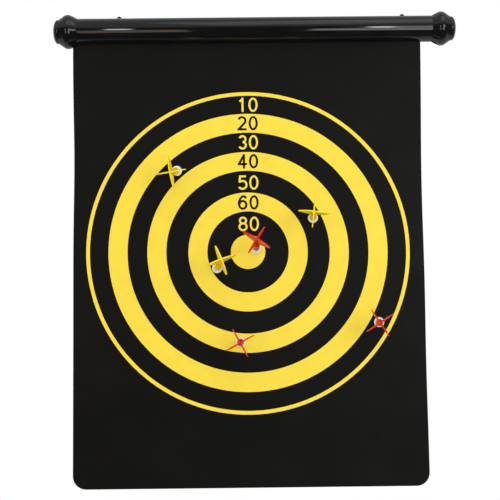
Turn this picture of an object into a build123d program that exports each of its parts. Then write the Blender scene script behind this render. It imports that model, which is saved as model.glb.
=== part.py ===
from build123d import *
from math import cos, radians, sin, sqrt, tan
import os

# Magnetic dartboard: a flexible target sheet hangs from a rod inside a slotted tube.
# +Z is up, +X is the viewer's right and the viewer stands on the -Y side.
# The origin is midway between the two hanger holes, on the hangers' rear face.
# All sizes are in millimetres and degrees.

# Tube; its middle is off the hangers' middle, and its length leaves the hem room to slide
tube_middle = -6.7
hem_travel = 16.5
tube_radius = 13.5
tube_wall = 1.5

# End caps; axial sizes run outwards from the tube's end
cap_peak_axial = 10.3
cap_peak_radius = 18.85
cap_peak_rounding = 7.0
cap_groove_axial = 19.7
cap_groove_radius = 12.2
cap_rim_radius = 12.5
cap_rim_length = 0.3
cap_rim_step = 0.3
cap_dome_height = 4.9
cap_wall = 1.8
cap_peak_wall = 3.5
spigot_length = 10.0
spigot_wall = 1.5
spigot_clearance = 0.1
notch_depth = 5.45

# Hangers and their rivets; an inset runs from the tube's end to a hanger's middle
hanger_inset = 35.25
hanger_thickness = 1.2
hanger_width = 12.0
hanger_hole_radius = 2.5
hanger_hole_above_axis = 9.7
hanger_tip_above_axis = 19.4
hanger_tip_radius = 2.5
hanger_wrap_angle = 50.0
hanger_seat_gap = 0.05
rivet_angle = 26.0
rivet_pitch = 6.0
rivet_radius = 1.4
rivet_hole_clearance = 0.05
rivet_head_radius = 2.3
rivet_head_height = 0.9
rivet_head_taper = 30.0

# Target sheet and its hem
sheet_width = 361.0
sheet_drop = 470.3
sheet_corner_radius = 13.6
core_thickness = 0.8
face_thickness = 0.25
ink_thickness = 0.1
swing_angle = 10.0
hem_rod_radius = 2.0
hem_rod_clearance = 0.05
hem_rod_chamfer = 0.3
hem_sleeve_wall = 1.55
hem_inset = 6.0
hem_bay_clearance = 1.0
slot_clearance = 0.3
seat_clearance = 0.15
end_clearance = 0.6
face_gap = 0.1

# Printed target; each ring is given as inner and outer radius, each number with its
# height above the target's centre
ring_drop = 231.1
print_shift = -1.0
bull_radius = 17.7
bands = [(41.7, 61.2), (83.8, 103.3), (123.5, 143.1)]
outline_ring = (162.1, 165.9)
band_numbers = [("60", 50.9), ("40", 93.6), ("20", 133.3)]
gap_numbers = [("80", 28.8), ("50", 71.5), ("30", 113.4), ("10", 152.6)]
numeral_shift = 0.9
numeral_height = 15.0
numeral_width = 9.5
numeral_pitch = 11.6
printed_stroke = 2.05
open_stroke = 2.3
# Radius of each digit's lower bowl as a share of the digit's height
bowl_shares = {"3": 0.26, "5": 0.32, "6": 0.31, "8": 0.27}

# Darts: across and up from the target's centre, then the tail's lean to the right, its
# lean upwards and the flight's turn about its own axis
dart_poses = [
    (-72.2, 83.7, -6.9, -9.6, 8.0),
    (66.7, 33.5, -1.4, 3.2, -7.0),
    (-31.8, -16.9, 7.2, 8.7, 20.0),
    (-8.6, -92.2, -0.4, -2.0, 28.0),
    (132.5, -73.6, -4.3, -2.4, 33.0),
    (8.2, 2.5, 0.4, 9.6, -32.0),
]
ball_radius = 5.25
ball_gap = 0.1
socket_clearance = 0.08
socket_overlap = 1.0
barrel_radius = 3.5
barrel_nose_radius = 3.0
barrel_nose_length = 2.0
barrel_shoulder = 20.0
barrel_end = 27.0
barrel_end_radius = 2.4
groove_count = 3
groove_pitch = 2.6
groove_width = 1.0
groove_depth = 0.4
stem_radius = 1.3
stem_clearance = 0.05
stem_depth = 7.0
flight_length = 15.5
flight_span = 31.4
flight_thickness = 1.1
flight_tip_at = 9.5
flight_tip_width = 3.0
tip_flat = 0.2
flight_bulge = 1.6
flight_hub_radius = 1.9

# Worked-out sizes
tube_bore = tube_radius - tube_wall
tube_y = -(tube_radius + hanger_seat_gap + hanger_thickness)
tube_z = -hanger_hole_above_axis
tube_length = sheet_width + hem_travel - 2 * (notch_depth - end_clearance)
tube_end = tube_length / 2
hanger_spacing = tube_length - 2 * hanger_inset
hem_sleeve_radius = hem_rod_radius + hem_rod_clearance + hem_sleeve_wall
laminate_half = core_thickness / 2 + face_thickness
swing_lever = tube_radius - tube_bore + hem_sleeve_radius
slot_half = (
    laminate_half / cos(radians(swing_angle))
    + swing_lever * tan(radians(swing_angle))
    + slot_clearance
)
sleeve_reach = hem_sleeve_radius + seat_clearance
rod_drop = sqrt(tube_bore**2 - slot_half**2) - sqrt(sleeve_reach**2 - slot_half**2)
rod_z = tube_z - rod_drop
hem_length = sheet_width - 2 * hem_inset
sheet_left = tube_middle - (tube_end + notch_depth - end_clearance)
sheet_middle = sheet_left + sheet_width / 2
sheet_bottom = tube_z - sheet_drop
core_top = rod_z - (hem_rod_radius + hem_rod_clearance) - face_gap
face_top = rod_z - hem_sleeve_radius - face_gap
target_x = sheet_middle + print_shift
target_z = tube_z - ring_drop
face_front = tube_y - laminate_half
ink_front = face_front - ink_thickness
ball_y = ink_front - ball_gap - ball_radius
spigot_radius = tube_bore - spigot_clearance
notch_half = slot_half + (cap_peak_radius - tube_radius) * tan(radians(swing_angle))
hem_bay_half = hem_sleeve_radius + hem_bay_clearance
hem_bay_top = rod_z + hem_bay_half

tube_axis = Axis((0, tube_y, tube_z), (1, 0, 0))
across_tube = Plane.YZ
target_plane = Plane((target_x, face_front, target_z), x_dir=(1, 0, 0), z_dir=(0, -1, 0))


def save(part, name):
    """Label a finished piece and write it."""
    part.label = name
    export_step(part, f"parts/{name}.step")


def rivet_plane(x):
    """Plane on the tube's axis that faces out of the rear wall, where a rivet goes."""
    lean = radians(-rivet_angle)
    return Plane((x, tube_y, tube_z), x_dir=(1, 0, 0), z_dir=(0, cos(lean), sin(lean)))


def rivet_places(side):
    """The x of both rivets of the hanger on one side, -1 for left and 1 for right."""
    middle = side * hanger_spacing / 2
    return [middle - rivet_pitch / 2, middle + rivet_pitch / 2]


def make_tube():
    """Round tube with a slot along its underside and holes for the rivets."""
    with BuildPart() as tube:
        with BuildSketch(across_tube.offset(tube_middle - tube_end)):
            with Locations((tube_y, tube_z)):
                Circle(tube_radius)
                Circle(tube_bore, mode=Mode.SUBTRACT)
            with Locations((tube_y, tube_z - tube_radius)):
                Rectangle(2 * slot_half, 2 * tube_wall + tube_radius - rod_drop, mode=Mode.SUBTRACT)
        extrude(amount=tube_length)
        for side in (-1, 1):
            for x in rivet_places(side):
                with BuildSketch(rivet_plane(x)):
                    Circle(rivet_radius + rivet_hole_clearance)
                extrude(amount=2 * tube_radius, mode=Mode.SUBTRACT)
    return tube.part


def make_end_cap(side):
    """Hollow finial with a flared ring, a groove, a shallow dome and a spigot for the tube."""
    foot = tube_middle + side * tube_end
    profile_plane = Plane((foot, tube_y, tube_z), x_dir=(side, 0, 0), z_dir=(0, -side, 0))
    rim_start = cap_groove_axial + cap_rim_step
    rim_end = rim_start + cap_rim_length
    dome_tip = rim_end + cap_dome_height
    with BuildPart() as cap:
        with BuildSketch(profile_plane) as section:
            with BuildLine():
                Polyline(
                    (0, 0),
                    (0, tube_radius),
                    (cap_peak_axial, cap_peak_radius),
                    (cap_groove_axial, cap_groove_radius),
                    (rim_start, cap_rim_radius),
                    (rim_end, cap_rim_radius),
                )
                EllipticalCenterArc((rim_end, 0), cap_dome_height, cap_rim_radius, arc_size=90)
                Line((dome_tip, 0), (0, 0))
            make_face()
            fillet(section.vertices().sort_by(Axis.Y)[-1], cap_peak_rounding)
        revolve(axis=tube_axis)
        with BuildSketch(profile_plane):
            with BuildLine():
                Polyline(
                    (0, 0),
                    (0, spigot_radius - spigot_wall),
                    (cap_wall, spigot_radius - spigot_wall),
                    (cap_peak_axial, cap_peak_radius - cap_peak_wall),
                    (cap_groove_axial, cap_groove_radius - cap_wall),
                    (rim_end, cap_groove_radius - cap_wall),
                    (dome_tip - cap_wall, 0),
                    close=True,
                )
            make_face()
        revolve(axis=tube_axis, mode=Mode.SUBTRACT)
        with BuildSketch(across_tube.offset(foot)):
            with Locations((tube_y, tube_z)):
                Circle(spigot_radius)
                Circle(spigot_radius - spigot_wall, mode=Mode.SUBTRACT)
            with Locations((tube_y, hem_bay_top)):
                Rectangle(
                    2 * hem_bay_half,
                    2 * tube_radius,
                    align=(Align.CENTER, Align.MAX),
                    mode=Mode.SUBTRACT,
                )
        extrude(amount=-side * spigot_length)
        with BuildSketch(across_tube.offset(foot)):
            with Locations((tube_y, hem_bay_top)):
                Rectangle(2 * notch_half, 2 * tube_radius, align=(Align.CENTER, Align.MAX))
        extrude(amount=side * notch_depth, mode=Mode.SUBTRACT)
    return cap.part


def make_hanger(side):
    """Pressed strip: its foot hugs the tube's rear wall and its tongue has the nail hole."""
    middle = side * hanger_spacing / 2
    inner = tube_radius + hanger_seat_gap
    outer = inner + hanger_thickness
    wrap = radians(hanger_wrap_angle)
    half_wrap = wrap / 2
    with BuildPart() as hanger:
        with BuildSketch(across_tube.offset(middle - hanger_width / 2)):
            with BuildLine():
                foot_in = (tube_y + inner * cos(wrap), tube_z - inner * sin(wrap))
                foot_out = (tube_y + outer * cos(wrap), tube_z - outer * sin(wrap))
                bend_in = (tube_y + inner * cos(half_wrap), tube_z - inner * sin(half_wrap))
                bend_out = (tube_y + outer * cos(half_wrap), tube_z - outer * sin(half_wrap))
                ThreePointArc(foot_in, bend_in, (tube_y + inner, tube_z))
                Polyline(
                    (tube_y + inner, tube_z),
                    (tube_y + inner, tube_z + hanger_tip_above_axis),
                    (tube_y + outer, tube_z + hanger_tip_above_axis),
                    (tube_y + outer, tube_z),
                )
                ThreePointArc((tube_y + outer, tube_z), bend_out, foot_out)
                Line(foot_out, foot_in)
            make_face()
        extrude(amount=hanger_width)
        with BuildSketch(Plane((middle, 0, 0), x_dir=(1, 0, 0), z_dir=(0, -1, 0))):
            Circle(hanger_width / 2)
            with Locations((0, tube_z + hanger_tip_above_axis - hanger_tip_radius)):
                Circle(hanger_tip_radius)
            make_hull()
            Rectangle(hanger_width, 3 * tube_radius, align=(Align.CENTER, Align.MAX))
        extrude(amount=2 * tube_radius, mode=Mode.INTERSECT)
        with BuildSketch(Plane((middle, 0, 0), x_dir=(1, 0, 0), z_dir=(0, -1, 0))):
            Circle(hanger_hole_radius)
        extrude(amount=2 * hanger_thickness, mode=Mode.SUBTRACT)
        for x in rivet_places(side):
            with BuildSketch(rivet_plane(x)):
                Circle(rivet_radius + rivet_hole_clearance)
            extrude(amount=2 * tube_radius, mode=Mode.SUBTRACT)
    return hanger.part


def make_rivets(side):
    """Two blind rivets that hold one hanger to the tube's rear wall."""
    inner_head = sqrt(tube_bore**2 - rivet_head_radius**2) - hanger_seat_gap
    outer_head = tube_radius + 2 * hanger_seat_gap + hanger_thickness
    with BuildPart() as rivets:
        for x in rivet_places(side):
            base = rivet_plane(x)
            with BuildSketch(base.offset(inner_head - rivet_head_height)):
                Circle(rivet_head_radius)
            extrude(amount=rivet_head_height)
            with BuildSketch(base.offset(inner_head)):
                Circle(rivet_radius)
            extrude(amount=outer_head - inner_head)
            with BuildSketch(base.offset(outer_head)):
                Circle(rivet_head_radius)
            extrude(amount=rivet_head_height, taper=rivet_head_taper)
    return rivets.part


def make_hem_rod():
    """Round steel rod that carries the sheet inside the tube."""
    with BuildPart() as rod:
        with BuildSketch(across_tube.offset(sheet_middle - hem_length / 2)):
            with Locations((tube_y, rod_z)):
                Circle(hem_rod_radius)
        extrude(amount=hem_length)
        chamfer(rod.edges().filter_by(GeomType.CIRCLE), hem_rod_chamfer)
    return rod.part


def make_hem_sleeve():
    """Extruded keeper round the rod, slit underneath to take the sheet's top edge."""
    with BuildPart() as sleeve:
        with BuildSketch(across_tube.offset(sheet_middle - hem_length / 2)):
            with Locations((tube_y, rod_z)):
                Circle(hem_sleeve_radius)
                Circle(hem_rod_radius + hem_rod_clearance, mode=Mode.SUBTRACT)
                Rectangle(
                    core_thickness,
                    2 * hem_sleeve_radius,
                    align=(Align.CENTER, Align.MAX),
                    mode=Mode.SUBTRACT,
                )
        extrude(amount=hem_length)
    return sleeve.part


def sheet_layer(rear, thickness, top, side_inset):
    """One layer of the sheet: full width below the tube, stepped in beside the hem."""
    layer_plane = Plane((sheet_middle, rear, 0), x_dir=(1, 0, 0), z_dir=(0, -1, 0))
    with BuildPart() as layer:
        with BuildSketch(layer_plane) as outline:
            with Locations((0, face_top)):
                Rectangle(sheet_width, face_top - sheet_bottom, align=(Align.CENTER, Align.MAX))
            fillet(outline.vertices().group_by(Axis.Y)[0], sheet_corner_radius)
            if top > face_top:
                with Locations((0, face_top)):
                    Rectangle(
                        sheet_width - 2 * side_inset,
                        top - face_top,
                        align=(Align.CENTER, Align.MIN),
                    )
        extrude(amount=thickness)
    return layer.part


def ellipse_ring(x_radius, y_radius, stroke):
    """Closed stroke along an ellipse, in the open sketch."""
    Ellipse(x_radius + stroke / 2, y_radius + stroke / 2)
    Ellipse(x_radius - stroke / 2, y_radius - stroke / 2, mode=Mode.SUBTRACT)


def digit_strokes(digit, w, h, stroke):
    """Centre lines of a digit's open strokes; w and h are half its width and height."""
    top, foot = h + stroke / 2, -h - stroke / 2
    right, left = w + stroke / 2, -w - stroke / 2
    bowl = 2 * h * bowl_shares.get(digit, 0)
    if digit == "1":
        stem = 0.2 * w
        return [Line((stem, foot), (stem, top)), Line((-0.6 * w, 0.52 * h), (stem, 0.95 * h))]
    if digit == "2":
        arch = CenterArc((0, h - w), w, 160, -205)
        return [arch, Line(arch @ 1, (-0.95 * w, -h)), Line((left, -h), (right, -h))]
    if digit == "3":
        return [
            CenterArc((0.1 * w, bowl), h - bowl, 160, -250),
            CenterArc((0.1 * w, bowl - h), bowl, 90, -250),
        ]
    if digit == "4":
        stem, bar = 0.45 * w, -0.45 * h
        return [
            Line((stem, foot), (stem, top)),
            Line((left, bar), (right, bar)),
            Line((-w, bar), (stem, h)),
        ]
    if digit == "5":
        corner = (-0.72 * w, h)
        arch = CenterArc((-0.02 * w, bowl - h), bowl, 140, -290)
        return [Line(corner, (0.95 * w, h)), Line((-0.65 * w, top), arch @ 0), arch]
    if digit == "6":
        return [Spline((-w, bowl - h), (-0.68 * w, 0.62 * h), (0.15 * w, h), (0.92 * w, 0.68 * h))]
    return []


def make_digit(digit, stroke):
    """One digit as a flat sketch, centred on the origin."""
    w = (numeral_width - stroke) / 2
    h = (numeral_height - stroke) / 2
    bowl = 2 * h * bowl_shares.get(digit, 0)
    strokes = digit_strokes(digit, w, h, stroke)
    with BuildSketch() as glyph:
        if digit == "0":
            ellipse_ring(w, h, stroke)
        if digit in ("6", "8"):
            with Locations((0, bowl - h)):
                ellipse_ring(w, bowl, stroke)
        if digit == "8":
            with Locations((0, bowl)):
                ellipse_ring(0.86 * w, h - bowl, stroke)
        for line in strokes:
            trace(line, line_width=stroke)
    return glyph.sketch


def make_number(number, stroke):
    """A two-digit score as a flat sketch, centred on the origin."""
    with BuildSketch() as score:
        for digit, x in zip(number, (-numeral_pitch / 2, numeral_pitch / 2)):
            with Locations((x, 0)):
                add(make_digit(digit, stroke))
    return score.sketch


def make_print_rings():
    """Bull, three bands with their scores left open, and the thin outer ring."""
    scores = [make_number(number, open_stroke) for number, height in band_numbers]
    with BuildPart() as print_rings:
        with BuildSketch(target_plane):
            Circle(bull_radius)
        extrude(amount=ink_thickness)
        for (inner, outer), (number, height), score in zip(bands, band_numbers, scores):
            with BuildSketch(target_plane):
                Circle(outer)
                Circle(inner, mode=Mode.SUBTRACT)
                with Locations((numeral_shift, height)):
                    add(score, mode=Mode.SUBTRACT)
            extrude(amount=ink_thickness)
        with BuildSketch(target_plane):
            Circle(outline_ring[1])
            Circle(outline_ring[0], mode=Mode.SUBTRACT)
        extrude(amount=ink_thickness)
    return print_rings.part


def make_print_numerals():
    """Scores printed in the black gaps between the bands."""
    scores = [make_number(number, printed_stroke) for number, height in gap_numbers]
    with BuildPart() as numerals:
        with BuildSketch(target_plane):
            for (number, height), score in zip(gap_numbers, scores):
                with Locations((numeral_shift, height)):
                    add(score)
        extrude(amount=ink_thickness)
    return numerals.part


def dart_plane(across, up, lean_right, lean_up, turn):
    """Plane at a dart's ball whose normal runs along the dart to its tail."""
    tail = Vector(tan(radians(lean_right)), -1, tan(radians(lean_up))).normalized()
    level = Vector(0, 0, 1).cross(tail).normalized()
    upright = tail.cross(level)
    x_dir = level * cos(radians(turn)) + upright * sin(radians(turn))
    centre = (target_x + across, ball_y, target_z + up)
    return Plane(centre, x_dir=tuple(x_dir), z_dir=tuple(tail))


def lengthwise(plane, turned=False):
    """Plane that holds a dart's axis as its y direction, for profiles and vanes."""
    if turned:
        return Plane(plane.origin, x_dir=plane.y_dir, z_dir=plane.x_dir)
    return Plane(plane.origin, x_dir=plane.x_dir, z_dir=-plane.y_dir)


def make_magnet(plane):
    """Ball magnet at the dart's nose."""
    with BuildPart(plane) as magnet:
        Sphere(ball_radius)
    return magnet.part


def make_barrel(plane):
    """Turned barrel with a cupped nose for the ball, grip grooves and a bore for the stem."""
    first_groove = (ball_radius + barrel_shoulder - (groove_count - 1) * groove_pitch) / 2
    nose = sqrt((ball_radius + socket_clearance) ** 2 - barrel_nose_radius**2)
    with BuildPart() as barrel:
        with BuildSketch(lengthwise(plane)):
            with BuildLine():
                Polyline(
                    (0, nose - socket_overlap),
                    (barrel_nose_radius, nose - socket_overlap),
                    (barrel_nose_radius, nose),
                    (barrel_radius, nose + barrel_nose_length),
                    (barrel_radius, barrel_shoulder),
                    (barrel_end_radius, barrel_end),
                    (0, barrel_end),
                    close=True,
                )
            make_face()
            for index in range(groove_count):
                with Locations((barrel_radius, first_groove + index * groove_pitch)):
                    Rectangle(2 * groove_depth, groove_width, mode=Mode.SUBTRACT)
        revolve(axis=Axis(plane.origin, plane.z_dir))
        with BuildSketch(plane.offset(barrel_end - stem_depth)):
            Circle(stem_radius + stem_clearance)
        extrude(amount=stem_depth, mode=Mode.SUBTRACT)
        with Locations(plane):
            Sphere(ball_radius + socket_clearance, mode=Mode.SUBTRACT)
    return barrel.part


def make_flight(plane):
    """One moulded flight: a stem that plugs into the barrel, a hub and four pointed vanes."""
    root = barrel_end
    front = root + stem_clearance
    tail = root + flight_length
    tip_front = root + flight_tip_at - flight_tip_width / 2
    tip_rear = tip_front + flight_tip_width
    reach = flight_span / 2
    with BuildPart() as flight:
        with BuildSketch(plane.offset(root - stem_depth + stem_clearance)):
            Circle(stem_radius)
        extrude(amount=stem_depth)
        with BuildSketch(plane.offset(front)):
            Circle(flight_hub_radius)
        extrude(amount=flight_length - stem_clearance)
        for turned in (False, True):
            with BuildSketch(lengthwise(plane, turned)) as vane:
                with BuildLine():
                    Line((0, front), (flight_hub_radius, front))
                    SagittaArc((flight_hub_radius, front), (reach, tip_front), -flight_bulge)
                    Line((reach, tip_front), (reach, tip_rear))
                    SagittaArc((reach, tip_rear), (0, tail), -flight_bulge)
                    mirror(about=Plane.YZ)
                make_face()
                across = vane.vertices().sort_by(Axis.X)
                fillet(across[:2] + across[-2:], flight_tip_width / 2 - tip_flat)
            extrude(amount=flight_thickness / 2, both=True)
    return flight.part


os.makedirs("parts", exist_ok=True)
save(make_tube(), "tube")
save(make_hem_rod(), "hem_rod")
save(make_hem_sleeve(), "hem_sleeve")
for side, word in ((-1, "left"), (1, "right")):
    save(make_end_cap(side), f"end_cap_{word}")
    save(make_hanger(side), f"hanger_{word}")
    save(make_rivets(side), f"rivets_{word}")

core_rear = tube_y + core_thickness / 2
save(sheet_layer(core_rear, core_thickness, core_top, hem_inset), "sheet_core")
save(sheet_layer(core_rear - core_thickness, face_thickness, face_top, hem_inset), "front_face")
save(sheet_layer(core_rear + face_thickness, face_thickness, face_top, hem_inset), "back_face")
save(make_print_rings(), "print_rings")
save(make_print_numerals(), "print_numerals")

for number, pose in enumerate(dart_poses, start=1):
    placed = dart_plane(*pose)
    save(make_magnet(placed), f"dart_{number}_magnet")
    save(make_barrel(placed), f"dart_{number}_barrel")
    save(make_flight(placed), f"dart_{number}_flight")
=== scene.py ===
import logging
import math
from dataclasses import dataclass
from enum import Enum
from typing import Callable, Iterable, Sequence

import bmesh
import bpy
from mathutils import Matrix, Vector


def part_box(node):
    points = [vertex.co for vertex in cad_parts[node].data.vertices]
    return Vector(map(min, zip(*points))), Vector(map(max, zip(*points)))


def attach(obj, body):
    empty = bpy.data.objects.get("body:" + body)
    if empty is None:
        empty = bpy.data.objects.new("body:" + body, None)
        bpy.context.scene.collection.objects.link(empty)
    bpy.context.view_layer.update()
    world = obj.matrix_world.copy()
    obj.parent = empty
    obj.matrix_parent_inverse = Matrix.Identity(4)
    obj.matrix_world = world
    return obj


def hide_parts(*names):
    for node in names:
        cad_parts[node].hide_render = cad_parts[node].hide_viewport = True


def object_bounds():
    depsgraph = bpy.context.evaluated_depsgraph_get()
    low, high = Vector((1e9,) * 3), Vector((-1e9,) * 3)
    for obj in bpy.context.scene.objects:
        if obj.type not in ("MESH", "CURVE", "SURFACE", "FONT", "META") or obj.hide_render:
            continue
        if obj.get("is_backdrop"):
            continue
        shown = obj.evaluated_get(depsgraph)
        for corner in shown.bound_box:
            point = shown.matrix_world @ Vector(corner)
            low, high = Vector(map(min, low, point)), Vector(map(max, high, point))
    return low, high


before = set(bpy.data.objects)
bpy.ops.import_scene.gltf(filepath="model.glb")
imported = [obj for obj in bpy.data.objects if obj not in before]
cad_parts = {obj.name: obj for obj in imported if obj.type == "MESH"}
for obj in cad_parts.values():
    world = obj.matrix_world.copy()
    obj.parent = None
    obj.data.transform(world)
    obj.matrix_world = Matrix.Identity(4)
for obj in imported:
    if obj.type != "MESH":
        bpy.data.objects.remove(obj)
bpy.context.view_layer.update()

MM = 0.001
LOG = logging.getLogger("dartboard")
Profile = Sequence[tuple[float, float]]
Draws = tuple[tuple[float, float, float], ...]


# ---------------------------------------------------------------- small tools


def linear(code: str) -> tuple[float, float, float, float]:
    """Turn an sRGB hex colour into linear RGBA.

    Args:
        code: Six hex digits, such as "F2D846".

    Returns:
        The colour as Blender's shader sockets take it.
    """
    channels = [int(code[i : i + 2], 16) / 255 for i in (0, 2, 4)]
    flat = [c / 12.92 if c <= 0.04045 else ((c + 0.055) / 1.055) ** 2.4 for c in channels]
    return (flat[0], flat[1], flat[2], 1.0)


def per_metre(size_mm: float) -> float:
    """How many of a pattern's grains of this size, in mm, fill a metre."""
    return 1 / (size_mm * MM)


def add_node(tree: bpy.types.NodeTree, kind: str, inputs: dict | None = None, **settings) -> bpy.types.Node:
    """Add one node with its settings and links.

    Args:
        tree: The node tree to add to.
        kind: The node's type name.
        inputs: Socket name or index to a value, or to the output socket that feeds it.
        settings: Attributes of the node itself.

    Returns:
        The new node.
    """
    node = tree.nodes.new(kind)
    for key, value in settings.items():
        setattr(node, key, value)
    for socket, value in (inputs or {}).items():
        if isinstance(value, bpy.types.NodeSocket):
            tree.links.new(value, node.inputs[socket])
        else:
            node.inputs[socket].default_value = value
    return node


def select_only(piece: bpy.types.Object) -> None:
    """Deselect everything, then select one piece and make it active.

    Args:
        piece: The object to work on.
    """
    bpy.ops.object.select_all(action="DESELECT")
    piece.select_set(True)
    bpy.context.view_layer.objects.active = piece


def new_primitive(add: Callable, name: str, **sizes) -> bpy.types.Object:
    """Add a primitive with nothing else selected, and name it.

    Args:
        add: The operator, such as bpy.ops.mesh.primitive_cylinder_add.
        name: The name of the object and its mesh.
        sizes: The operator's own arguments.

    Returns:
        The new object.
    """
    bpy.ops.object.select_all(action="DESELECT")
    add(**sizes)
    piece = bpy.context.active_object
    piece.name = name
    piece.data.name = name
    return piece


def settle(piece: bpy.types.Object) -> None:
    """Move an object's place, turn and size into its mesh."""
    select_only(piece)
    bpy.ops.object.transform_apply(location=True, rotation=True, scale=True)


def pick(piece: bpy.types.Object, kind: str, wanted: Callable[[Vector], bool]) -> int:
    """Select the faces, edges or vertices whose middle is wanted, in edit mode.

    Args:
        piece: The object in edit mode.
        kind: "FACE", "EDGE" or "VERT".
        wanted: Test of a middle point.

    Returns:
        How many were selected.
    """
    bpy.ops.mesh.select_mode(type=kind)
    bpy.ops.mesh.select_all(action="DESELECT")
    mesh = bmesh.from_edit_mesh(piece.data)
    chosen = 0
    if kind == "VERT":
        for vertex in mesh.verts:
            if wanted(vertex.co):
                vertex.select_set(True)
                chosen += 1
    else:
        for part in mesh.faces if kind == "FACE" else mesh.edges:
            middle = sum((v.co for v in part.verts), Vector()) / len(part.verts)
            if wanted(middle):
                part.select_set(True)
                chosen += 1
    mesh.select_flush_mode()
    bmesh.update_edit_mesh(piece.data)
    return chosen


def apply_modifier(piece: bpy.types.Object, kind: str, **settings) -> None:
    """Add a modifier and apply it.

    Args:
        piece: The object to change.
        kind: The modifier's type.
        settings: Its settings, by name.
    """
    select_only(piece)
    modifier = piece.modifiers.new(kind.title(), kind)
    for key, value in settings.items():
        setattr(modifier, key, value)
    bpy.ops.object.modifier_apply(modifier=modifier.name)


def round_edges(piece: bpy.types.Object, width_mm: float, degrees: float) -> None:
    """Round a piece's sharp edges.

    Args:
        piece: The object to change.
        width_mm: How wide the rounding is.
        degrees: Edges that turn by more than this are sharp.
    """
    apply_modifier(
        piece, "BEVEL", width=width_mm * MM, segments=2, limit_method="ANGLE",
        angle_limit=math.radians(degrees),
    )


def close_up(piece: bpy.types.Object, outwards: bool = True) -> None:
    """Merge doubled points and turn the faces outwards.

    Args:
        piece: The mesh to mend.
        outwards: Whether the faces are to be turned outwards.
    """
    select_only(piece)
    bpy.ops.object.mode_set(mode="EDIT")
    bpy.ops.mesh.select_all(action="SELECT")
    bpy.ops.mesh.remove_doubles(threshold=0.004 * MM)
    if outwards:
        bpy.ops.mesh.normals_make_consistent(inside=False)
    bpy.ops.object.mode_set(mode="OBJECT")


def smooth(piece: bpy.types.Object, degrees: float = 32.0) -> None:
    """Shade smooth, with edges sharper than an angle kept."""
    select_only(piece)
    bpy.ops.object.shade_smooth_by_angle(angle=math.radians(degrees))


def lathe(name: str, profile: Profile, segments: int) -> bpy.types.Object:
    """Turn a profile about +Z by extruding a circle ring after ring.

    Args:
        name: The piece's name.
        profile: (height, radius) pairs in millimetres; a radius of 0 closes a pole.
        segments: Sides of the circle.

    Returns:
        The turned piece, closed at both ends.
    """
    tiny = 0.02
    height, radius = profile[0]
    radius = max(radius, tiny)
    ring = new_primitive(
        bpy.ops.mesh.primitive_circle_add,
        name,
        vertices=segments,
        radius=radius * MM,
        location=(0, 0, height * MM),
        fill_type="NGON",
    )
    settle(ring)
    bpy.ops.object.mode_set(mode="EDIT")
    bpy.ops.mesh.select_all(action="SELECT")
    for next_height, next_radius in profile[1:]:
        next_radius = max(next_radius, tiny)
        step = (next_height - height) * MM
        bpy.ops.mesh.extrude_region_move(TRANSFORM_OT_translate={"value": (0, 0, step)})
        ratio = next_radius / radius
        bpy.ops.transform.resize(value=(ratio, ratio, 1), center_override=(0, 0, next_height * MM))
        height, radius = next_height, next_radius
    bpy.ops.object.mode_set(mode="OBJECT")
    close_up(ring)
    return ring


def cut_box(piece: bpy.types.Object, low: Vector, high: Vector) -> None:
    """Cut a box out of a piece.

    Args:
        piece: What is cut.
        low: The box's lowest corner, in metres.
        high: The box's highest corner.
    """
    knife = new_primitive(bpy.ops.mesh.primitive_cube_add, "knife", size=1, location=(low + high) / 2)
    knife.scale = high - low
    settle(knife)
    apply_modifier(piece, "BOOLEAN", object=knife, operation="DIFFERENCE", solver="EXACT")
    bpy.data.objects.remove(knife)


def copy_of(piece: bpy.types.Object, name: str) -> bpy.types.Object:
    """Copy a modelled piece with a mesh of its own.

    Args:
        piece: The piece to copy.
        name: The copy's name.

    Returns:
        The copy.
    """
    twin = piece.copy()
    twin.data = piece.data.copy()
    twin.name = name
    twin.data.name = name
    bpy.context.scene.collection.objects.link(twin)
    return twin


def fit_out(
    piece: bpy.types.Object, body: str, material: bpy.types.Material, replaced: Iterable[str]
) -> None:
    """Give a finished piece its body and finish, and hide the CAD nodes that it stands for.

    Args:
        piece: The finished piece.
        body: The CAD body that it rides on.
        material: Its finish.
        replaced: CAD nodes that it replaces.
    """
    piece.data.materials.clear()
    piece.data.materials.append(material)
    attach(piece, body)
    nodes = list(replaced)
    if nodes:
        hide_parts(*nodes)
    LOG.info("%s: %d faces on %s", piece.name, len(piece.data.polygons), body)


# ------------------------------------------------------------------- finishes


class Grain(Enum):
    """How a plastic's surface was left by the tool that made it."""

    DRAWN = "drawn"
    MOULDED = "moulded"


class Recipe:
    """A material in the making: its nodes, its shader and the place that its patterns read."""

    def __init__(self, name: str, ior: float | None = None) -> None:
        """Start a material.

        Args:
            name: The real material and how its surface was made.
            ior: Its index of refraction. A metal keeps the shader's own.
        """
        self.made = bpy.data.materials.new(name)
        self.made.use_nodes = True
        self.tree = self.made.node_tree
        self.shader = self.tree.nodes["Principled BSDF"]
        if ior is not None:
            self.shader.inputs["IOR"].default_value = ior
        self.place = add_node(self.tree, "ShaderNodeTexCoord").outputs["Object"]

    def done(
        self, share: bpy.types.Node, colours: tuple[str, str], rough: bpy.types.Node, relief: bpy.types.Node
    ) -> bpy.types.Material:
        """Mix the colour, feed the shader and hand the material over.

        Args:
            share: The node that says where the second colour shows.
            colours: Its two colours, as hex.
            rough: The node that varies its gloss.
            relief: The bump that ends its relief.

        Returns:
            The finished material.
        """
        shade = add_node(
            self.tree, "ShaderNodeMix",
            {"Factor": share.outputs[0], "A": linear(colours[0]), "B": linear(colours[1])},
            data_type="RGBA",
        )
        self.tree.links.new(shade.outputs["Result"], self.shader.inputs["Base Color"])
        self.tree.links.new(rough.outputs[0], self.shader.inputs["Roughness"])
        self.tree.links.new(relief.outputs[0], self.shader.inputs["Normal"])
        return self.made


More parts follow.
